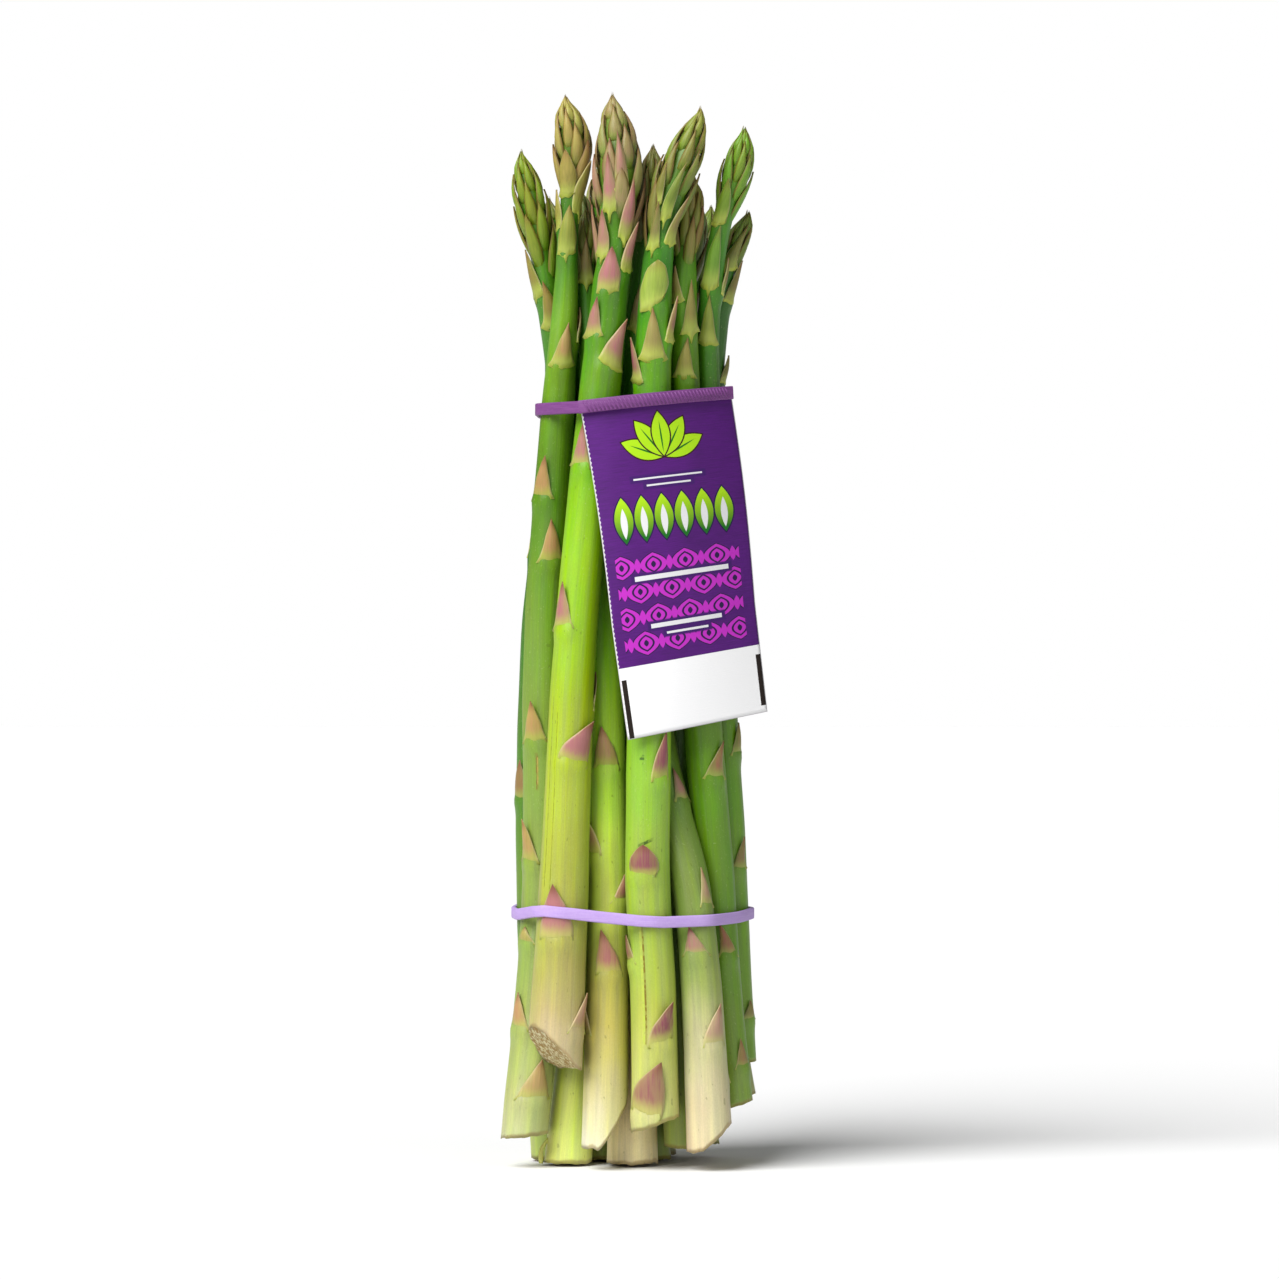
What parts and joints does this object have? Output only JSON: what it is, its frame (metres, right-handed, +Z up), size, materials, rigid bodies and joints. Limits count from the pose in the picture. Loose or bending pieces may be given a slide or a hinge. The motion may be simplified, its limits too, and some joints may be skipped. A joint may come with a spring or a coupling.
{
  "type": "bundle of asparagus",
  "caption": "Tied bunch of green asparagus standing on its cut ends, held by an elastic band with a hanging card tag and by a rubber band lower down.",
  "frame": {"origin": "on the ground at the middle of the bundle's box", "axes": "+Z up along the spears to their tips, +X to the viewer's right, -Y towards the viewer on the side that carries the tag"},
  "size_m": [0.0546, 0.0489, 0.22],
  "materials": {
    "spear": "waxy green plant stem",
    "elastic": "satin",
    "tag": "satin printed card",
    "rubber": "matte"
  },
  "bodies": {
    "root": {"spear_left": "spear", "spear_left_behind": "spear", "spear_thick": "spear", "spear_middle": "spear", "spear_front": "spear", "spear_right_front": "spear", "spear_right": "spear", "spear_right_edge": "spear", "spear_right_behind": "spear", "spear_second_middle": "spear", "spear_second_right": "spear", "spear_left_third": "spear", "spear_inner_left": "spear", "spear_inner_middle": "spear", "spear_inner_right": "spear", "spear_back_left": "spear", "spear_back_middle_left": "spear", "spear_back_middle_right": "spear", "spear_back_right": "spear", "upper_band": "elastic", "label": "tag", "lower_band": "rubber"}
  },
  "joints": []
}
